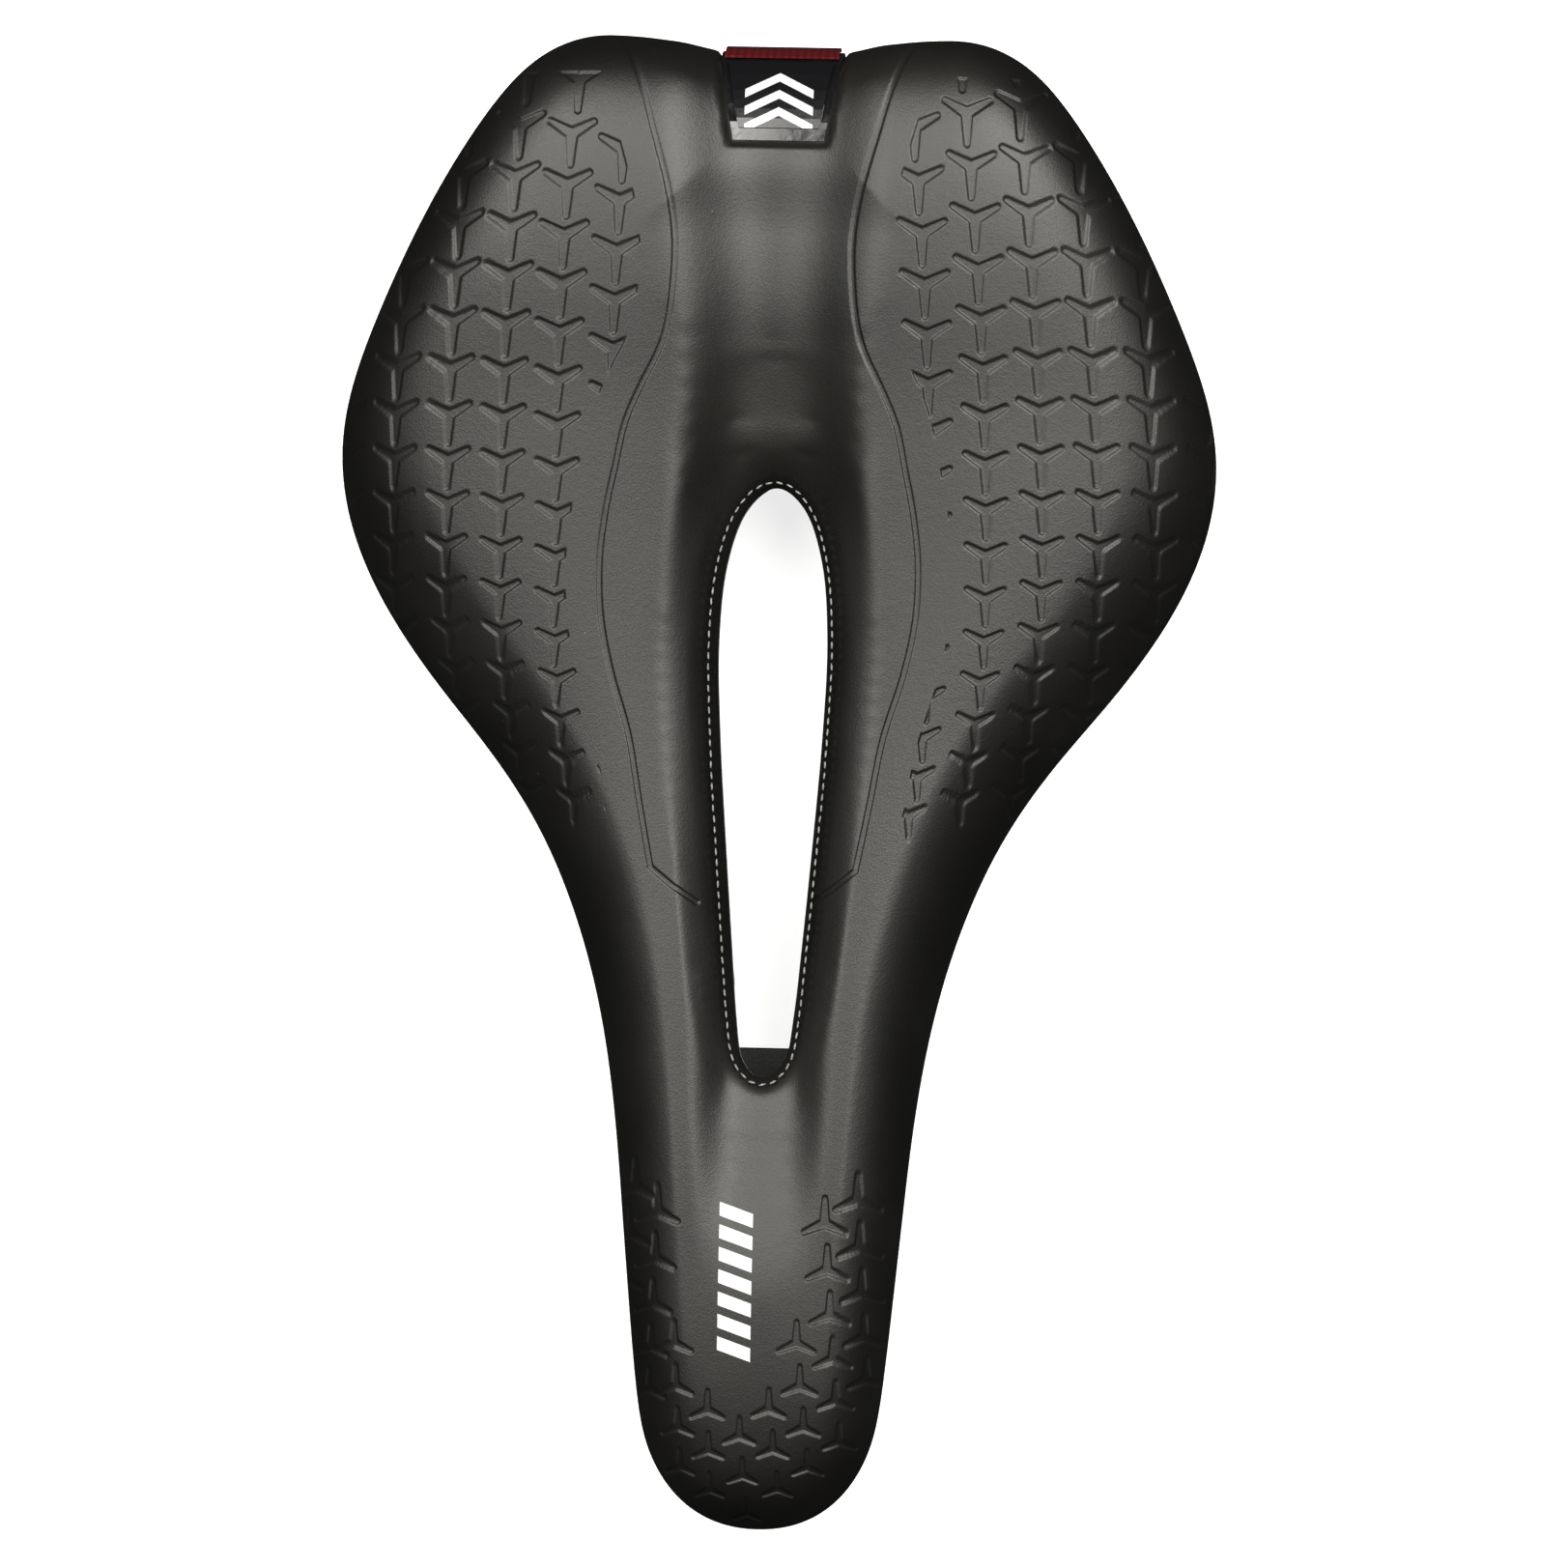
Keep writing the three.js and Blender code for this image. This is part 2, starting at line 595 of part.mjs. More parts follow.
function badgeHalfWidth(y) {
  const t = (y - BADGE.yFront) / (RIM_OUTLINE[0][1] - BADGE.yFront);
  return mix(BADGE.frontHalf, BADGE.rearHalf, Math.min(t, 1));
}

// A plate bent over the tail, at a height above the skin.
function tailPlate(lift, { from, to, inset, thick }) {
  const lower = clipLine(tailLine(lift), from, to);
  const upper = clipLine(tailLine(lift + thick), from, to);
  const loops = lower.map(([yLow, zLow], k) => {
    const [yHigh, zHigh] = upper[k];
    const [low, high] = [badgeHalfWidth(yLow) - inset, badgeHalfWidth(yHigh) - inset];
    return [[-low, yLow, zLow], [low, yLow, zLow], [high, yHigh, zHigh], [-high, yHigh, zHigh]];
  });
  return loft(loops, false);
}

// A stretch of a polyline between two shares of its length, each from the front end.
function clipLine(line, from, to) {
  const path = new THREE.CurvePath();
  const points = line.map(([y, z]) => new THREE.Vector3(0, y, z));
  for (let k = 1; k < points.length; k++) {
    path.add(new THREE.LineCurve3(points[k - 1], points[k]));
  }
  return Array.from({ length: PLATE_STEPS + 1 }, (_, k) => {
    const p = path.getPointAt(mix(from, to, k / PLATE_STEPS));
    return [p.y, p.z];
  });
}

// ---------- staples ----------
const STAPLES_PER_SIDE = 7;
const STAPLE = { crown: 7, wire: 0.7, height: 2.6, shoulder: 0.6, bite: 0.15 };
const STAPLES_FROM = 0.1; // first and last staple, as shares of the way from tail to nose
const STAPLES_TO = 0.83;

// A wire staple lying on the turned-up hem, at t from 0 (tail) to 1 (nose).
function staple(t, side) {
  const lean = (HEM_LEAN * (STAPLE.height + STAPLE.wire)) / HEM_LEG;
  const back = RIM_TUCK + SHELL + 2 * (SKIN + GAP) + lean + 2.5 * GAP;
  const rimPoint = (shift, inset) => {
    const p = beside(rimCurve, t, -inset);
    const along = rimCurve.getTangentAt(t / 2);
    const z = HEM_Z(beside(rimCurve, t, 0)[1]) + STAPLE.height;
    return new THREE.Vector3(side * (p[0] + along.x * shift), p[1] + along.y * shift, z);
  };
  const half = STAPLE.crown / 2;
  const { shoulder, bite } = STAPLE;
  const route = [
    rimPoint(-half, back - bite), rimPoint(-half + shoulder, back),
    rimPoint(half - shoulder, back), rimPoint(half, back - bite),
  ];
  const w = STAPLE.wire / 2;
  return sweep(route, [[w, w], [-w, w], [-w, -w], [w, -w]]);
}

// ---------- materials ----------
function finish(color, roughness, metalness = 0) {
  return new THREE.MeshStandardMaterial({ color, roughness, metalness });
}

const FINISH = {
  leather: finish(0x23221f, 0.62),
  lining: finish(0x161615, 0.8),
  thread: finish(0x8d8c86, 0.85),
  foam: finish(0x3a3a3c, 0.95),
  nylon: finish(0x18181a, 0.55),
  elastomer: finish(0x2b2b2d, 0.9),
  gloss: finish(0x050506, 0.08),
  lens: finish(0x3b0508, 0.12),
  print: finish(0xe6e6e4, 0.3),
  rail: finish(0x8c8c8f, 0.35, 1),
  zinc: finish(0xa8a8a5, 0.35, 1),
  black: finish(0x141414, 0.4, 1),
};

// ---------- assembly ----------
const saddle = new THREE.Group();

function place(name, geometry, material) {
  const mesh = new THREE.Mesh(geometry, material.clone());
  mesh.name = name;
  saddle.add(mesh);
}

place("cover", ringSolid(coverSection), FINISH.leather);
place("slot_lining", ringSolid(liningSection), FINISH.lining);
place("slot_thread", ringSolid(threadSection), FINISH.thread);
place("foam_pad", ringSolid(padSection), FINISH.foam);
place("shell", buildShell(), FINISH.nylon);
place("rail", railSolid, FINISH.rail);

place("nose_clip", noseClip(), FINISH.nylon);
place("nose_bumper", noseBumper(), FINISH.elastomer);
NOSE_SCREWS.forEach(([x, y], k) => {
  const length = CLIP_TOP.nose - NOSE_CLIP.z0 + SCREW_TOP + GAP;
  place(`nose_screw_${k + 1}`, screwSolid(x, y, NOSE_CLIP.z0 - GAP, length), FINISH.black);
});

for (const [side, word] of [[1, "right"], [-1, "left"]]) {
  place(`rear_clip_${word}`, rearClip(side), FINISH.nylon);
  place(`rear_bumper_${word}`, rearBumper(side), FINISH.elastomer);
  REAR_SCREWS.forEach(([x, y], k) => {
    const length = CLIP_TOP.rear - REAR_CLIP.z0 + SCREW_TOP + GAP;
    const screw = screwSolid(side * x, y, REAR_CLIP.z0 - GAP, length);
    place(`rear_screw_${word}_${k + 1}`, screw, FINISH.black);
  });
  for (let k = 0; k < STAPLES_PER_SIDE; k++) {
    const t = mix(STAPLES_FROM, STAPLES_TO, k / (STAPLES_PER_SIDE - 1));
    place(`staple_${word}_${k + 1}`, staple(t, side), FINISH.zinc);
  }
}

const badgeFace = BADGE.lift + BADGE.thick + GAP;
const badgePlate = { from: 0, to: 1, inset: 0, thick: BADGE.thick };
place("tail_badge", tailPlate(BADGE.lift, badgePlate), FINISH.gloss);
place("tail_label", tailPlate(badgeFace, LABEL), FINISH.print);
place("tail_reflector", tailPlate(badgeFace, REFLECTOR), FINISH.lens);

export default saddle;
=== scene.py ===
"""A short-nosed sport saddle with a stitched relief slot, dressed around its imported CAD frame."""

import math

import bmesh
import bpy
import numpy as np
from mathutils import Matrix, Vector


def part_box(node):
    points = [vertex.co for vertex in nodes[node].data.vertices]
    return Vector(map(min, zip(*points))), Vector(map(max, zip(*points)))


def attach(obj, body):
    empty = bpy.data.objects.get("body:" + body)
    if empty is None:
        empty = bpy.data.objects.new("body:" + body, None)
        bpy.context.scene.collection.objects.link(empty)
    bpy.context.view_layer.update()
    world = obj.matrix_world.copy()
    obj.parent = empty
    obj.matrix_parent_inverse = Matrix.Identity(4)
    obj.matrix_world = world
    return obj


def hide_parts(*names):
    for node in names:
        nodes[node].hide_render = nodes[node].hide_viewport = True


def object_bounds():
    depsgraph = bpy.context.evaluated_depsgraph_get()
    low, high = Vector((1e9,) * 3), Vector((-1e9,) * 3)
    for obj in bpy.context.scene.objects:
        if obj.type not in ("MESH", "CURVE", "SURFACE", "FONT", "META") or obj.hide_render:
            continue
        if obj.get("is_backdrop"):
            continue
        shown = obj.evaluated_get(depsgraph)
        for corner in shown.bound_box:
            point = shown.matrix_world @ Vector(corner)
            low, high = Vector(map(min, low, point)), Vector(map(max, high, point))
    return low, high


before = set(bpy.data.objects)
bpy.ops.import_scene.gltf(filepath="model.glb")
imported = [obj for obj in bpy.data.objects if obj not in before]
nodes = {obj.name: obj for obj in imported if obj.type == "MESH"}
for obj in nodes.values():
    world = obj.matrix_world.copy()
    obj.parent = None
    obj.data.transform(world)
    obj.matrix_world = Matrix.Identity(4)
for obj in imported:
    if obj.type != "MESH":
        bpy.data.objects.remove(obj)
cad_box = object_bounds()

# ---------------------------------------------------------------- shell
# The base is one injection moulding in glass-filled nylon, with ribs below and a turned-down
# flange. It comes out of a spark-eroded mould, so its skin is finely grained and half matt.
MM = 0.001
NYLON_BLACK = (0.012, 0.012, 0.0125)
NYLON_WORN = (0.026, 0.0255, 0.025)


class Value:
    """A number that varies over a surface; arithmetic on it adds Math nodes to its finish."""

    def __init__(self, finish, socket):
        self.finish = finish
        self.socket = socket

    def maths(self, operation, *terms):
        return self.finish.node("Math", {"operation": operation}, dict(enumerate(terms)))

    def __add__(self, other):
        return self.maths("ADD", self, other)

    def __sub__(self, other):
        return self.maths("SUBTRACT", self, other)

    def __mul__(self, other):
        return self.maths("MULTIPLY", self, other)

    def __truediv__(self, other):
        return self.maths("DIVIDE", self, other)

    def __rsub__(self, other):
        return self.maths("SUBTRACT", other, self)

    __radd__ = __add__
    __rmul__ = __mul__

    def higher(self, other):
        return self.maths("MAXIMUM", self, other)

    def size(self):
        return self.maths("ABSOLUTE", self)

    def repeat(self, step):
        """The distance from the middle of the nearest of cells that are one step long."""
        return self.maths("PINGPONG", self, step / 2)

    def step(self, low, high):
        """0 below low, 1 above high, and a smooth rise between them."""
        settings = {"interpolation_type": "SMOOTHSTEP"}
        return self.finish.node("MapRange", settings, {0: self, 1: low, 2: high})


class Finish:
    """One procedural material: constants go on the shader's sockets, nodes feed what varies."""

    def __init__(self, name, constants):
        self.material = bpy.data.materials.new(name)
        self.material.use_nodes = True
        self.tree = self.material.node_tree
        self.shader = self.tree.nodes["Principled BSDF"]
        for socket, number in constants.items():
            self.shader.inputs[socket].default_value = number
        self.place = self.node("TexCoord", output="Object")

    def node(self, kind, settings=None, sockets=None, output=0):
        made = self.tree.nodes.new("ShaderNode" + kind)
        for setting, choice in (settings or {}).items():
            setattr(made, setting, choice)
        for socket, value in (sockets or {}).items():
            self.feed(made.inputs[socket], value)
        return Value(self, made.outputs[output])

    def feed(self, socket, value):
        if isinstance(value, Value):
            self.tree.links.new(value.socket, socket)
        else:
            socket.default_value = value

    def axis(self, letter):
        """One coordinate of a place, in millimetres."""
        return self.node("SeparateXYZ", sockets={0: self.place}, output=letter) * (1 / MM)

    def stretched(self, scale):
        return self.node("Mapping", sockets={"Vector": self.place, "Scale": scale})

    def grain(self, size, detail=2.0, where=None):
        """Cloudy noise whose blobs are about one size, in millimetres; from 0 to 1."""
        sockets = {"Vector": where or self.place, "Scale": 1 / (size * MM), "Detail": detail}
        return self.node("TexNoise", {"noise_dimensions": "3D"}, sockets)

    def cells(self, size):
        """The distance from the middle of the nearest of cells of about one size."""
        sockets = {"Vector": self.place, "Scale": 1 / (size * MM)}
        return self.node("TexVoronoi", {"voronoi_dimensions": "3D"}, sockets, output="Distance")

    def attribute(self, name):
        return self.node("Attribute", {"attribute_name": name}, output="Fac")

    def blend(self, mask, first, second):
        """The first colour where the mask is 0, and the second where it is 1."""
        sockets = {0: mask}
        for index, colour in ((6, first), (7, second)):
            sockets[index] = colour if isinstance(colour, Value) else (*colour, 1.0)
        return self.node("Mix", {"data_type": "RGBA"}, sockets, output=2)

    def colour(self, value):
        self.feed(self.shader.inputs["Base Color"], value)

    def roughness(self, value):
        self.feed(self.shader.inputs["Roughness"], value)

    def relief(self, height, depth, strength=1.0):
        """Bumps the surface by a height from 0 to 1 that stands for a depth in millimetres."""
        sockets = {"Height": height, "Distance": depth * MM, "Strength": strength}
        bump = self.node("Bump", sockets=sockets, output="Normal")
        self.tree.links.new(bump.socket, self.shader.inputs["Normal"])


def dress(piece, finish):
    """Gives one finish to every face of a piece or a CAD node."""
    slots = piece.material_slots
    if not slots:
        piece.data.materials.append(finish.material)
    for slot in slots:
        slot.link = "OBJECT"
        slot.material = finish.material


def mould_grain(name, dark, worn, roughness, depth, gloss):
    """The fine pitted skin of moulded nylon, a little paler where hands and dust wear it."""
    finish = Finish(name, {"Specular IOR Level": gloss})
    clouds = finish.grain(9, 3)
    pits = finish.cells(0.55)
    finish.colour(finish.blend(clouds.step(0.42, 0.75), dark, worn))
    finish.roughness(roughness + (clouds - 0.5) * 0.16 + (pits - 0.5) * 0.1)
    finish.relief(pits * 0.7 + finish.grain(0.25, 1) * 0.5, depth)
    return finish


nylon = mould_grain("nylon", NYLON_BLACK, NYLON_WORN, 0.56, 0.05, 0.4)
dress(nodes["shell"], nylon)

# ---------------------------------------------------------------- rail
# One steel tube, bent cold into a hairpin and satin painted. Rings are rolled into it every
# 5 mm along the clamp zone to set the saddle's place, and the clamp scuffs the paint there.
RAIL_STEEL = (0.33, 0.335, 0.345)
RAIL_SCUFFED = (0.5, 0.5, 0.5)
CLAMP_REACH = 36
MARK_STEP = 5


def merged(name, node):
    """A new object from a CAD node's triangles, welded and paired back into four-sided faces."""
    mesh = bpy.data.meshes.new(name)
    shape = bmesh.new()
    shape.from_mesh(nodes[node].data)
    bmesh.ops.remove_doubles(shape, verts=shape.verts, dist=0.002 * MM)
    bmesh.ops.join_triangles(
        shape,
        faces=shape.faces,
        angle_face_threshold=math.radians(50),
        angle_shape_threshold=math.radians(80),
    )
    shape.to_mesh(mesh)
    shape.free()
    piece = bpy.data.objects.new(name, mesh)
    bpy.context.scene.collection.objects.link(piece)
    return piece


def rounded(piece, levels):
    """Rounds a piece with subdivision surfaces and keeps the result as its mesh."""
    modifier = piece.modifiers.new("rounding", "SUBSURF")
    modifier.levels = modifier.render_levels = levels
    graph = bpy.context.evaluated_depsgraph_get()
    mesh = bpy.data.meshes.new_from_object(piece.evaluated_get(graph))
    piece.modifiers.clear()
    piece.data = mesh
    mesh.shade_smooth()
    return piece


def fit(piece, slot, *replaced):
    """Fixes a finished piece to the saddle in place of its CAD nodes."""
    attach(piece, "root")
    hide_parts(*replaced)


rail = rounded(merged("hairpin_rail", "rail"), 2)
steel = Finish("rail_steel", {"Metallic": 1.0})
scuffs = steel.grain(2.2, 4, where=steel.stretched((1.0, 0.12, 1.0)))
along = steel.axis("Y")
clamped = 1 - along.size().step(CLAMP_REACH - 3, CLAMP_REACH + 1)
rings = (1 - along.repeat(MARK_STEP).step(0.12, 0.3)) * clamped
steel.colour(steel.blend(scuffs.step(0.55, 0.7) * clamped, RAIL_STEEL, RAIL_SCUFFED))
steel.roughness(0.3 + steel.grain(14, 2) * 0.12 + rings * 0.25)
steel.relief(1 - rings * 0.8 + steel.grain(0.4, 2) * 0.15, 0.12)
dress(rail, steel)
fit(rail, "rail_steel", "rail")

# ---------------------------------------------------------------- clips and bumpers
# The nose clip and the two rear clips are nylon blocks with the sockets of the rail. An
# elastomer pad is squeezed between each of them and the shell, to take the buzz of the road.
CLIP_BLACK = (0.006, 0.006, 0.0065)
CLIP_WORN = (0.014, 0.014, 0.0135)
ELASTOMER_GREY = (0.045, 0.045, 0.048)
ELASTOMER_BLOOM = (0.085, 0.084, 0.08)

clip_nylon = mould_grain("clip_nylon", CLIP_BLACK, CLIP_WORN, 0.6, 0.035, 0.3)
for node in ("nose_clip", "rear_clip_left", "rear_clip_right"):
    dress(nodes[node], clip_nylon)

elastomer = Finish("elastomer", {"Specular IOR Level": 0.35})
bloom = elastomer.grain(5, 4)
elastomer.colour(elastomer.blend(bloom.step(0.45, 0.7), ELASTOMER_GREY, ELASTOMER_BLOOM))
elastomer.roughness(0.72 + bloom * 0.15)
elastomer.relief(elastomer.grain(0.5, 3), 0.04)
for node in ("nose_bumper", "rear_bumper_left", "rear_bumper_right"):
    dress(nodes[node], elastomer)

# ---------------------------------------------------------------- screws
# Six socket screws in blackened steel hold the clips: two in the nose and two a side at the
# back. Handling rubs the black off in small patches, down to the grey steel.
OXIDE_BLACK = (0.045, 0.046, 0.05)
OXIDE_RUBBED = (0.16, 0.16, 0.165)

black_steel = Finish("black_steel", {"Metallic": 0.85})
rubbed = black_steel.grain(1.6, 4)
black_steel.colour(black_steel.blend(rubbed.step(0.52, 0.68), OXIDE_BLACK, OXIDE_RUBBED))
black_steel.roughness(0.3 + rubbed * 0.25)
black_steel.relief(black_steel.grain(0.35, 3), 0.02)
for node in nodes:
    if "screw" in node:
        dress(nodes[node], black_steel)

# ---------------------------------------------------------------- foam pad
# The pad is polyurethane foam, moulded in one piece with the slot through it. It is bonded
# to the shell below and to the cover above, which hide it, and its cells are about 1 mm wide.
FOAM_GREY = (0.19, 0.185, 0.175)
FOAM_PALE = (0.3, 0.295, 0.28)

pad = rounded(merged("moulded_pad", "foam_pad"), 2)
foam = Finish("foam", {"Specular IOR Level": 0.2})
bubbles = foam.cells(0.9)
foam.colour(foam.blend(bubbles.step(0.1, 0.6), FOAM_GREY, FOAM_PALE))
foam.roughness(0.9 + foam.grain(3) * 0.08)
foam.relief(bubbles, 0.25)
dress(pad, foam)
fit(pad, "foam", "foam_pad")

# ---------------------------------------------------------------- slot lining
# A black nylon fabric tube lines the slot. It is sewn to the cover along its top edge, and
# its foot turns out under the shell and is glued there, pulled tight, so it lies flat.
LINING_BLACK = (0.012, 0.012, 0.013)
LINING_THREAD = (0.05, 0.05, 0.052)
WEAVE_STEP = 0.7

lining = rounded(merged("slot_sleeve", "slot_lining"), 2)
fabric = Finish("lining", {"Specular IOR Level": 0.25, "Sheen Weight": 0.25})
warp = fabric.axis("Z").repeat(WEAVE_STEP) / (WEAVE_STEP / 2)
weft = (fabric.axis("Y") + fabric.axis("X") * 0.6).repeat(WEAVE_STEP) / (WEAVE_STEP / 2)
weave = (warp * weft + (1 - warp) * (1 - weft)).step(0.1, 0.9)
fabric.colour(fabric.blend(weave * fabric.grain(1.5), LINING_BLACK, LINING_THREAD))
fabric.roughness(0.8 + weave * 0.1)
fabric.relief(weave, 0.12)
dress(lining, fabric)
fit(lining, "lining", "slot_lining")

# ---------------------------------------------------------------- cover
# The skin is polyurethane leather, heat pressed over the foam and turned in under the shell.
# The press sinks three-armed grip marks into the wings and the nose, and a narrow groove
# round the smooth middle panel; a shallow seat at the tail takes the badge.
LEATHER_BLACK = (0.0052, 0.005, 0.0044)
LEATHER_RUBBED = (0.0095, 0.0092, 0.0082)
# painted shade for the creases along the edges of the grip marks and the groove
CREASE_PAINTED_SHADE = (0.004, 0.004, 0.004)
DUST_GREY = (0.16, 0.16, 0.15)
PRINT_WHITE = (0.72, 0.73, 0.72)
BAR_STEP = 3.6
# Right half of the middle panel's edge, from the tail forwards, in millimetres.
PANEL_EDGE = [
    (24.6, 121), (22.4, 117.5), (20, 111.7), (17.6, 103.4), (15.5, 95.6), (14.4, 88.9),
    (14.3, 83), (15, 75.4), (16.4, 70), (19.3, 64), (21.8, 58), (23.3, 51), (24.7, 44),
    (25.6, 36), (25.3, 27), (23.5, 18), (20.5, 8), (18.5, -3), (16.5, -13.4),
]
PANEL_POINT = [(16.5, -13.4), (12.8, -16.4), (9.2, -18.9)]
PANEL_SHIFT = -1.8  # the panel sits this far to the left of the middle
SEAM_HOLD = 3.0  # the seam round the slot holds the skin down this far out
STRETCH_ROUNDS = 9
GROOVE_WIDTH = 0.85
GROOVE_DEPTH = 0.22
GROOVE_WALL = 0.3
MARK_DEPTH = 0.25
MARK_WALL = 0.36
NO_MARK = 9.0  # stands for a place that no mark or groove is near
FINE_REACH = 1.1  # the mesh is cut finer this far either side of a mark's edge
MARK_CLEAR = 5.6  # from the panel's edge to the nearest wing mark
MARK_TAIL = 113.8  # wing marks end here, towards the tail
MARK_REACH = 5.5  # no stroke is longer than this from its middle
SKIN_SWELL = 0.3
BADGE_SIDE = ((103.6, 119), (7.3, 9.8))  # places along the badge, and half widths there
SEAT_CLEAR = 0.45
SEAT_LIP = 0.9
TAIL_PUSH = 0.7
PLEAT_DEPTH = 0.16
WING_LIFTS = (-2.5, 0, 1.2, 1.6, 1.7, 1.9)  # how far each column of wing marks is shifted
WING_ROWS = 17
# Nose marks: place across of the first and the last, rear-most junction, number of marks.
NOSE_COLUMNS = [
    (16.0, 17.6, -66.2, 5), (10.9, 13.5, -70, 6), (6.7, 8.6, -89.4, 4), (2.4, 3.8, -100.1, 3),
    (-2.3, -1.3, -104.6, 3), (-7.5, -7.1, -100.5, 3), (-13, -11.9, -89.8, 4),
    (-16.1, -17.1, -68.7, 5), (-19.9, -21.5, -64.9, 3),
]


def smooth_curve(points, step):
    """Points every step along a smooth curve through the given ones."""
    points = np.array(points, float)
    length = np.concatenate([[0], np.cumsum(np.hypot(*np.diff(points, axis=0).T))])
    ends = np.vstack([2 * points[0] - points[1], points, 2 * points[-1] - points[-2]])
    out = []
    for i in range(len(points) - 1):
        a, b, c, d = ends[i : i + 4]
        bend = 2 * a - 5 * b + 4 * c - d
        twist = 3 * b - a - 3 * c + d
        for t in np.arange(0, 1, step / max(length[i + 1] - length[i], step)):
            out.append(0.5 * ((2 * b) + (c - a) * t + bend * t**2 + twist * t**3))
    out.append(points[-1])
    return np.array(out)


def from_stroke(xy, start, end, start_radius, end_radius):
    """Signed distance from one tapered stroke with round ends."""
    run = end - start
    t = np.clip(((xy - start) @ run) / (run @ run), 0, 1)
    nearest = start + t[:, None] * run
    return np.hypot(*(xy - nearest).T) - (start_radius + (end_radius - start_radius) * t)


def from_line(xy, line):
    """Unsigned distance from a line of points."""
    best = np.full(len(xy), 1e9)
    for start, end in zip(line[:-1], line[1:]):
        best = np.minimum(best, from_stroke(xy, start, end, 0.0, 0.0))
    return best


def wing_x(y, column):
    """Where a column of wing marks runs, as it bows outwards along the wing."""
    bow = np.where(y > 30, 4.2 * ((y - 30) / 78) ** 2, 2.6 * ((30 - y) / 27) ** 2)
    spread = np.interp(y, (0, 12, 35, 110), (7.4, 8.2, 9.0, 8.5))
    return 34.6 - bow + spread * column


def wing_junctions():
    """Middles of the wing marks; the left half of the tool sits further out and lower."""
    for column, lift in enumerate(WING_LIFTS, start=-1):
        for row in range(WING_ROWS):
            y = 117 - 8.7 * row + 0.085 * row * (row - 1) + lift
            yield wing_x(y, column), y
            further = np.interp(y, (45, 108), (0, 2.5))
            lower = np.interp(y, (-20, 15, 45, 108), (1.2, 0.8, 2.0, 4.4))
            yield -wing_x(y, column) - further, y - lower


def mark_distance(xy):
    """Signed distance from the pressed grip marks: negative inside them."""
    marks = np.full(len(xy), NO_MARK)
    strokes = []
    for x, y in wing_junctions():
        scale = np.interp(y, (0, 80), (0.7, 1.0))
        middle = np.array([x, y])
        for tip in ((-3.55, 2.0), (3.55, 2.0), (0.15 * np.sign(x), -5.0)):
            strokes.append((middle, middle + np.array(tip) * scale, 0.95 * scale, 0.5 * scale))
    for first_x, last_x, y, count in NOSE_COLUMNS:
        for row in range(count):
            middle = np.array([np.interp(row, (0, count - 1), (first_x, last_x)), y])
            scale = np.interp(y, (-117, -66), (0.62, 1.0))
            for tip in ((-3.4, -1.6), (3.4, -1.6), (0, 4.1)):
                strokes.append((middle, middle + np.array(tip) * scale, 0.8 * scale, 0.45 * scale))
            y -= np.interp(y, (-117, -66), (6.1, 7.6))
    for middle, tip, wide, narrow in strokes:
        near = np.abs(xy - (middle + tip) / 2).max(axis=1) < MARK_REACH
        marks[near] = np.minimum(marks[near], from_stroke(xy[near], middle, tip, wide, narrow))
    return marks


panel_edge = smooth_curve(PANEL_EDGE, 2.0)
panel_line = np.vstack([panel_edge, PANEL_POINT[1:]])


def panel_distance(xy):
    """Distance from the groove round the middle panel, and how far outside the panel a point is."""
    folded = np.abs(xy[:, 0] - PANEL_SHIFT)
    points = np.column_stack([folded, xy[:, 1]])
    away = from_line(points, panel_line)
    edge_x = np.interp(xy[:, 1], panel_edge[::-1, 1], panel_edge[::-1, 0])
    outside = np.where(folded > edge_x, away, -away)
    return away, outside


def rise(value, low, high):
    """0 below low, 1 above high, and a smooth rise between them."""
    t = np.clip((value - low) / (high - low), 0, 1)
    return t * t * (3 - 2 * t)


def coordinates(mesh):
    """Places of a mesh's points, in millimetres."""
    flat = np.empty(len(mesh.vertices) * 3, np.float32)
    mesh.vertices.foreach_get("co", flat)
    return flat.reshape(-1, 3).astype(float) / MM


def directions(mesh):
    """The way each of a mesh's points faces."""
    flat = np.empty(len(mesh.vertices) * 3, np.float32)
    mesh.vertices.foreach_get("normal", flat)
    return flat.reshape(-1, 3).astype(float)


def pressed(xy, up):
    """Signed distances from the marks and from the groove, where the press reaches."""
    away, outside = panel_distance(xy)
    marks = mark_distance(xy)
    wing = xy[:, 1] > -20
    limit = np.where(wing, np.maximum(MARK_CLEAR - outside, xy[:, 1] - MARK_TAIL), -NO_MARK)
    marks = np.maximum(marks, limit)
    marks = np.where(up > 0.12, marks, NO_MARK)
    groove = np.where(up > 0.2, away - GROOVE_WIDTH / 2, NO_MARK)
    return marks, groove


# The skin is drawn smooth over the foam, but for the roll that the seam holds down.
cover = rounded(merged("pressed_cover", "cover"), 1)
sewn = coordinates(nodes["slot_thread"].data)[:, :2]
shape = bmesh.new()
shape.from_mesh(cover.data)
places = np.array([vert.co.xy for vert in shape.verts]) / MM
from_seam = np.array([np.hypot(*(sewn - place).T).min() for place in places])
free = from_seam > SEAM_HOLD
taut = [vert for vert, loose in zip(shape.verts, free) if loose and vert.normal.z > 0.3]
for _ in range(STRETCH_ROUNDS):
    bmesh.ops.smooth_vert(
        shape, verts=taut, factor=0.5, use_axis_x=True, use_axis_y=True, use_axis_z=True
    )
shape.to_mesh(cover.data)
shape.free()
rounded(cover, 2)
shape = bmesh.new()
shape.from_mesh(cover.data)
shape.faces.ensure_lookup_table()
centres = np.array([face.calc_center_median()[:] for face in shape.faces]) / MM
tilts = np.array([face.normal.z for face in shape.faces])
marks, groove = pressed(centres[:, :2], tilts)
fine = (np.abs(marks) < FINE_REACH) | (np.abs(groove) < 1.0)
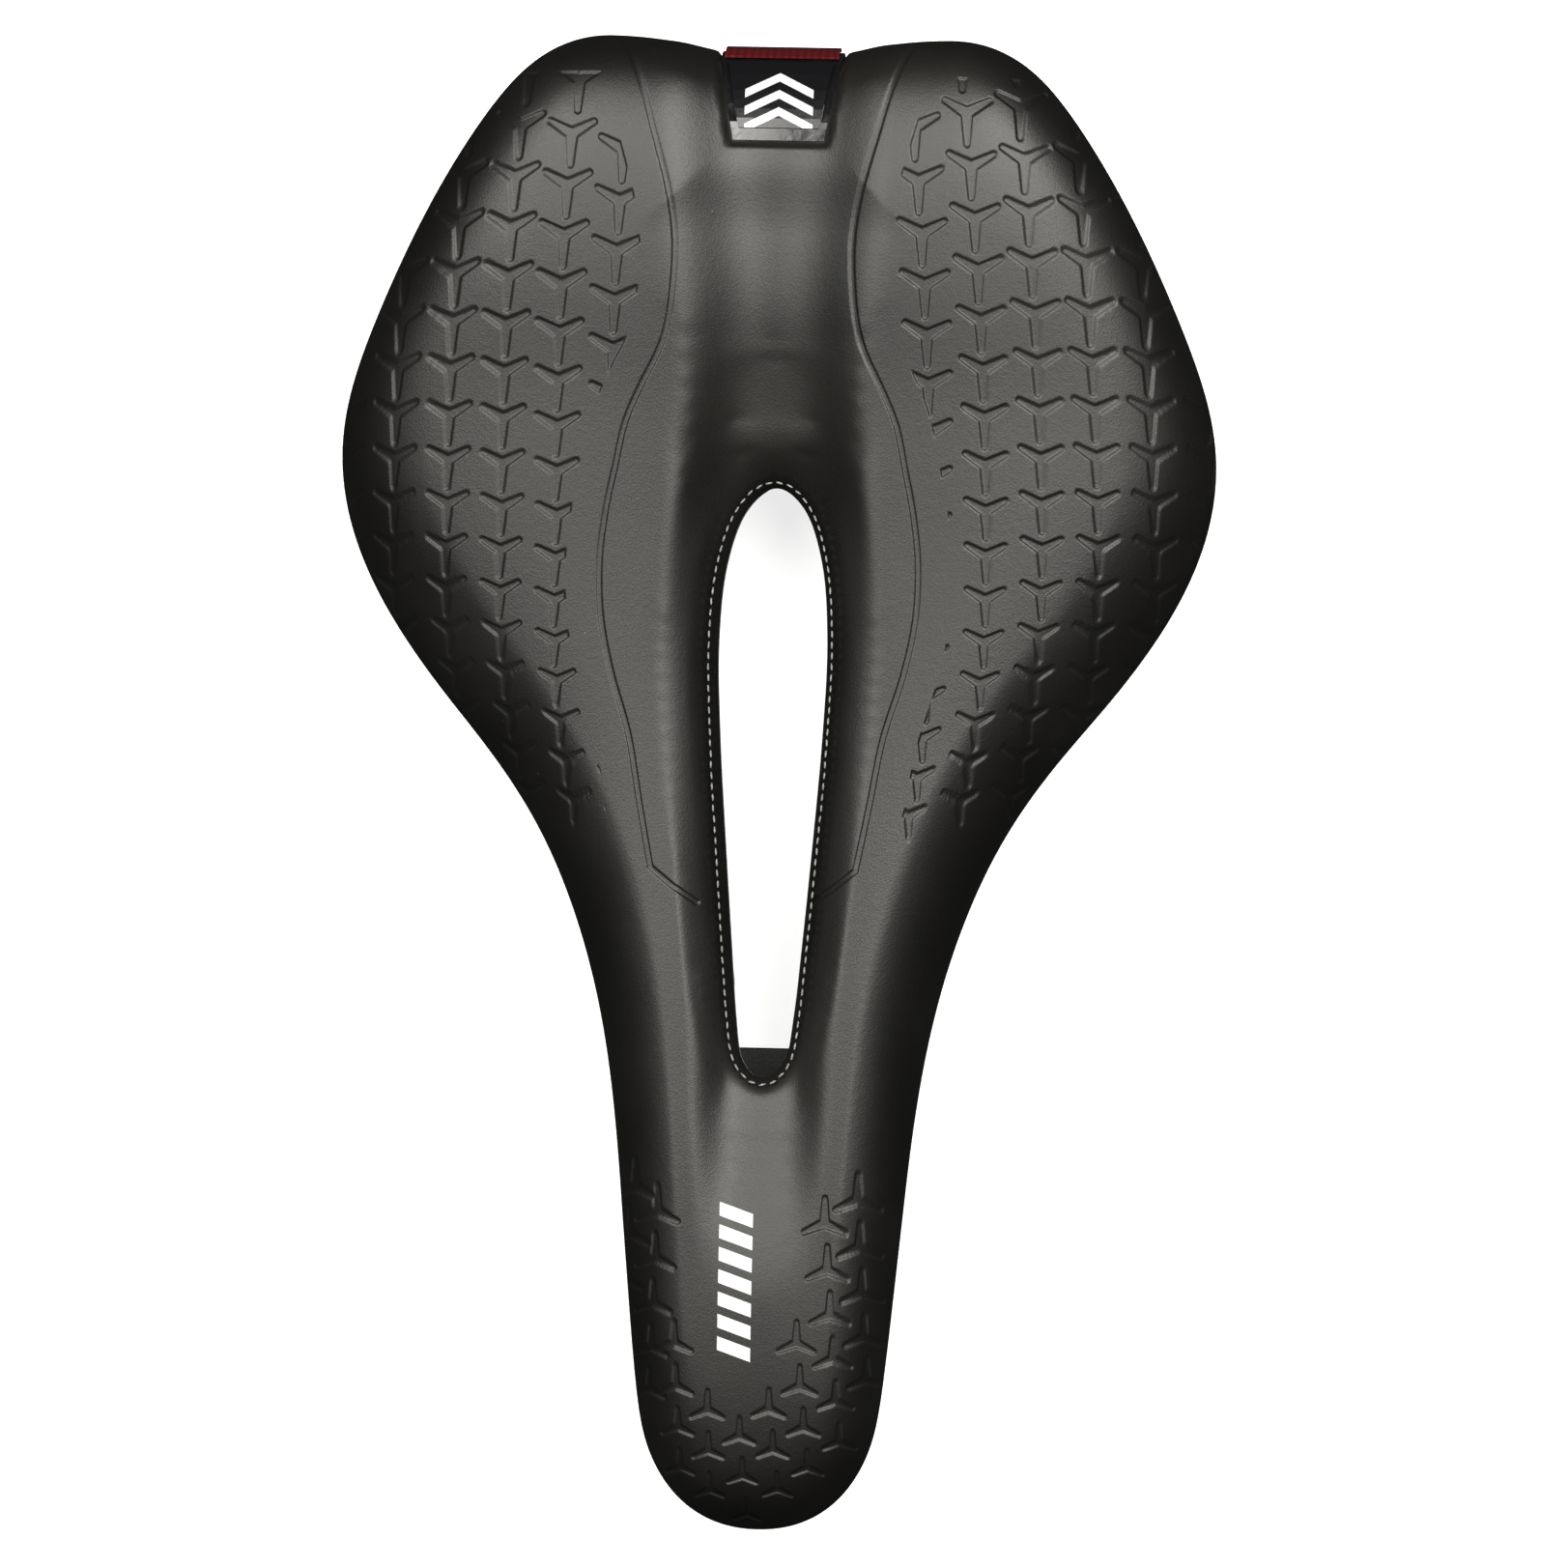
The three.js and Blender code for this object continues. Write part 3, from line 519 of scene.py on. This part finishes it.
edges = {edge for face, wanted in zip(shape.faces, fine) if wanted for edge in face.edges}
bmesh.ops.subdivide_edges(shape, edges=list(edges), cuts=2, use_grid_fill=True)
shape.to_mesh(cover.data)
shape.free()

# It swells a little, stands up round the badge, is pleated where it turns in, and is pressed.
skin = coordinates(cover.data)
normals = directions(cover.data)
marks, groove = pressed(skin[:, :2], normals[:, 2])
outer = rise(normals[:, 2], 0.1, 0.3)
outside = rise(normals[:, 2], -0.3, 0.1)
skin = skin + normals * (SKIN_SWELL * outside)[:, None]
beside = np.abs(skin[:, 0])
badge_edge = np.interp(skin[:, 1], *BADGE_SIDE) + SEAT_CLEAR
clear = np.maximum(beside - badge_edge, BADGE_SIDE[0][0] - SEAT_CLEAR - skin[:, 1])
lip = rise(clear, 0, 0.7) * (1 - rise(clear, 3, 15)) * rise(skin[:, 1], 72, 103)
push = rise(clear, 0, 0.7) * (1 - rise(beside, 12, 27)) * rise(skin[:, 1], 104, 117)
skin[:, 2] += SEAT_LIP * lip * outer
skin[:, 1] += TAIL_PUSH * push
around = np.arctan2(skin[:, 1] / 1.7, skin[:, 0])
pleats = np.sin(83 * around + 3 * np.sin(7 * around)) + 0.6 * np.sin(149 * around + 2)
turned_in = rise(-normals[:, 2], 0.15, 0.6) * rise(-skin[:, 2], -34, -30)
skin = skin - normals * (PLEAT_DEPTH * pleats * turned_in)[:, None]
sink = MARK_DEPTH * (1 - rise(marks, -MARK_WALL / 2, MARK_WALL / 2))
sink = np.maximum(sink, GROOVE_DEPTH * (1 - rise(groove, -GROOVE_WALL / 2, GROOVE_WALL / 2)))
skin = skin - normals * (sink * outer)[:, None]
cover.data.vertices.foreach_set("co", (skin * MM).astype(np.float32).ravel())
for name, values in (("mark_edge", marks), ("groove_edge", groove)):
    layer = cover.data.attributes.new(name, "FLOAT", "POINT")
    layer.data.foreach_set("value", np.clip(values, -2, 4).astype(np.float32))
cover.data.update()
cover.data.shade_smooth()

leather = Finish("leather", {"Specular IOR Level": 0.55})
pores = leather.cells(0.32)
fleck = leather.cells(7.5)
haze = leather.grain(26, 4)
mark = leather.attribute("mark_edge")
seam = leather.attribute("groove_edge")
crease = 1 - mark.size().step(0.02, 0.16)
pinch = 1 - seam.size().step(0.02, 0.14)
across = leather.axis("X")
length = leather.axis("Y")
slanted = length + across * 0.35 + 81.0
bars = (1 - (across + 3.4).size().step(2.6, 2.75)) * (1 - slanted.size().step(12.0, 12.1))
bars = bars * (1 - slanted.repeat(BAR_STEP).step(1.05, 1.15))
dust = (1 - fleck.step(0.012, 0.028)) * leather.grain(3).step(0.5, 0.6)
tone = leather.blend(haze.step(0.35, 0.75), LEATHER_BLACK, LEATHER_RUBBED)
# Painted shade: the skin is darkened along the edges of the grip marks and of the groove, as shade
# in their creases.
tone = leather.blend(crease.higher(pinch) * 0.15, tone, CREASE_PAINTED_SHADE)
tone = leather.blend(dust * 0.6, tone, DUST_GREY)
leather.colour(leather.blend(bars, tone, PRINT_WHITE))
leather.roughness(0.43 + (haze - 0.5) * 0.12 + (pores - 0.5) * 0.06 + crease * 0.1)
leather.relief(pores * 0.5 + leather.grain(1.1, 3) * 0.6, 0.03)
dress(cover, leather)
fit(cover, "leather", "cover")

# ---------------------------------------------------------------- slot stitching
# A lockstitch in grey bonded thread joins cover and lining all the way round the slot.
STITCH_PITCH = 1.75
STITCH_LENGTH = 1.25
STITCH_WIDTH = 0.32
SLOT_SLIMNESS = 5  # about how many times as long as wide the seam is
RING_BLUR = 5  # points either side that a point of the middle line is the mean of
THREAD_GREY = (0.16, 0.16, 0.155)
THREAD_PALE = (0.34, 0.34, 0.33)

ring = np.unique(coordinates(nodes["slot_thread"].data).round(3), axis=0)
turn = np.arctan2(ring[:, 1] / SLOT_SLIMNESS, ring[:, 0])
ring = ring[np.argsort(turn)]
wrapped = np.vstack([ring[-RING_BLUR:], ring, ring[:RING_BLUR]])
window = 2 * RING_BLUR + 1
middle_line = np.array([wrapped[i : i + window].mean(axis=0) for i in range(len(ring))])
loop = np.vstack([middle_line, middle_line[:1]])
travel = np.concatenate([[0], np.cumsum(np.linalg.norm(np.diff(loop, axis=0), axis=1))])
count = round(travel[-1] / STITCH_PITCH)


def on_seam(stitch):
    """The place of a stitch, counted round the seam."""
    reached = (stitch % count) * travel[-1] / count
    return np.array([np.interp(reached, travel, loop[:, k]) for k in range(3)])


stitching = bmesh.new()
for i in range(count):
    spot = on_seam(i + 0.5)
    heading = Vector(on_seam(i + 0.7) - spot).normalized()
    turned = heading.to_track_quat("X", "Z").to_matrix().to_4x4()
    sizes = Matrix.Diagonal((STITCH_LENGTH / 2, STITCH_WIDTH / 2, STITCH_WIDTH / 2, 1))
    where = Matrix.Translation(Vector(spot) * MM) @ turned @ Matrix.Scale(MM, 4) @ sizes
    bmesh.ops.create_uvsphere(stitching, u_segments=8, v_segments=6, radius=1.0, matrix=where)
mesh = bpy.data.meshes.new("slot_stitches")
stitching.to_mesh(mesh)
stitching.free()
mesh.shade_smooth()
stitches = bpy.data.objects.new("slot_stitches", mesh)
bpy.context.scene.collection.objects.link(stitches)
thread = Finish("thread", {"Specular IOR Level": 0.3, "Sheen Weight": 0.2})
twist = thread.grain(0.3, 2)
thread.colour(thread.blend(twist.step(0.35, 0.65), THREAD_GREY, THREAD_PALE))
thread.roughness(0.6 + twist * 0.2)
thread.relief(twist, 0.05)
dress(stitches, thread)
fit(stitches, "thread", "slot_thread")

# ---------------------------------------------------------------- staples
# Wire staples fix the turned-in hem to the shell, seven a side.
ZINC = (0.55, 0.56, 0.58)
ZINC_DULL = (0.3, 0.31, 0.32)
zinc = Finish("zinc", {"Metallic": 1.0})
spangle = zinc.cells(0.8)
zinc.colour(zinc.blend(spangle.step(0.2, 0.7), ZINC, ZINC_DULL))
zinc.roughness(0.34 + spangle * 0.2)
zinc.relief(zinc.grain(0.3, 2), 0.02)
for node in nodes:
    if node.startswith("staple"):
        dress(nodes[node], zinc)

# ---------------------------------------------------------------- tail badge
# A gloss black plate is bent over the tail and glued down, with a printed label on top and a
# dark red reflector strip along its rear edge.
GLOSS_BLACK = (0.006, 0.006, 0.007)
GLOSS_SMEARED = (0.012, 0.012, 0.013)
LABEL_WHITE = (0.75, 0.77, 0.78)
LENS_RED = (0.07, 0.006, 0.008)
# painted highlight for the reflector's prism ridges
LENS_PAINTED_GLINT = (0.12, 0.008, 0.01)
PRISM_STEP = 1.2

gloss = Finish(
    "gloss_black", {"Specular IOR Level": 0.6, "Coat Weight": 0.6, "Coat Roughness": 0.05}
)
smear = gloss.grain(4, 4)
gloss.colour(gloss.blend(smear.step(0.4, 0.8), GLOSS_BLACK, GLOSS_SMEARED))
gloss.roughness(0.08 + smear.step(0.4, 0.8) * 0.12)
gloss.relief(gloss.grain(3, 3), 0.05, 0.4)
dress(nodes["tail_badge"], gloss)

label_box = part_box("tail_label")
label_middle = (label_box[0] + label_box[1]) / 2 / MM
printed = Finish("print", {"Specular IOR Level": 0.5, "Coat Weight": 0.5, "Coat Roughness": 0.06})
sideways = (printed.axis("X") - label_middle.x).size()
forward = printed.axis("Y") - label_middle.y
point = forward + sideways * 0.5
chevron = (1 - point.repeat(2.8).step(0.62, 0.74)) * (1 - sideways.step(5.4, 5.55))
chevron = chevron * (1 - point.size().step(4.0, 4.1))
printed.colour(printed.blend(chevron, GLOSS_BLACK, LABEL_WHITE))
printed.roughness(0.14 + printed.grain(2) * 0.1)
dress(nodes["tail_label"], printed)

lens = Finish("red_lens", {"Specular IOR Level": 0.6, "Coat Weight": 0.5, "Coat Roughness": 0.05})
prism = lens.axis("X").repeat(PRISM_STEP) / (PRISM_STEP / 2)
# Painted highlight: each prism is painted brighter red towards its ridge, as if it caught the
# light.
lens.colour(lens.blend(prism, LENS_RED, LENS_PAINTED_GLINT))
lens.roughness(0.12 + prism * 0.1)
lens.relief(prism, 0.15)
dress(nodes["tail_reflector"], lens)

# ---------------------------------------------------------------- room
# A pale floor under the saddle, two broad soft lamps overhead, either side of it and towards
# the tail, and a camera that looks almost straight down from two metres.
FLOOR_SIZE = 6.0
LAMP_TINT = (1, 0.985, 0.94)
LAMP_AIM = (0, 0, 0.04)
lowest = cad_box[0].z
bed = bmesh.new()
bmesh.ops.create_grid(bed, x_segments=1, y_segments=1, size=FLOOR_SIZE / 2)
bmesh.ops.translate(bed, verts=bed.verts, vec=(0, 0, lowest))
mesh = bpy.data.meshes.new("floor")
bed.to_mesh(mesh)
bed.free()
floor = bpy.data.objects.new("floor", mesh)
bpy.context.scene.collection.objects.link(floor)
paper = Finish("floor_paper", {"Base Color": (0.86, 0.86, 0.86, 1), "Roughness": 0.9})
paper.feed(paper.shader.inputs["Emission Color"], (1, 1, 1, 1))
paper.feed(paper.shader.inputs["Emission Strength"], 0.8)
dress(floor, paper)
floor.visible_diffuse = False
floor.visible_glossy = False
floor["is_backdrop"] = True


def softbox(name, place, size, power):
    data = bpy.data.lights.new(name, "AREA")
    data.shape = "RECTANGLE"
    data.size, data.size_y = size
    data.energy = power
    data.color = LAMP_TINT
    lamp = bpy.data.objects.new(name, data)
    lamp.location = place
    lamp.rotation_euler = (Vector(place) - Vector(LAMP_AIM)).to_track_quat("Z", "Y").to_euler()
    bpy.context.scene.collection.objects.link(lamp)


softbox("key", (0.45, 0.3, 1.1), (0.7, 0.8), 18)
softbox("fill", (-0.48, 0.26, 1.1), (0.6, 0.8), 13)
world = bpy.data.worlds.new("room")
world.use_nodes = True
sky = world.node_tree.nodes["Background"]
sky.inputs["Color"].default_value = (1, 1, 0.98, 1)
sky.inputs["Strength"].default_value = 0.02
bpy.context.scene.world = world
bpy.context.scene.view_settings.view_transform = "Standard"

CAMERA_TILT = math.radians(3.5)
CAMERA_ROLL = math.radians(1.2)
FRAME_WIDTH = 252.5
aim = Vector((2.6, 0.4, 38)) * MM
camera_data = bpy.data.cameras.new("camera")
camera_data.lens = 290
camera_data.sensor_width = 36
reach = FRAME_WIDTH * MM * camera_data.lens / camera_data.sensor_width
camera = bpy.data.objects.new("camera", camera_data)
look = Matrix.Rotation(CAMERA_TILT, 4, "Y") @ Matrix.Rotation(CAMERA_ROLL, 4, "Z")
camera.matrix_world = Matrix.Translation(aim) @ look @ Matrix.Translation((0, 0, reach))
bpy.context.scene.collection.objects.link(camera)
bpy.context.scene.camera = camera

shown_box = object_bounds()
sizes = {"cad": [list(corner) for corner in cad_box]}
sizes["shown"] = [list(corner) for corner in shown_box]
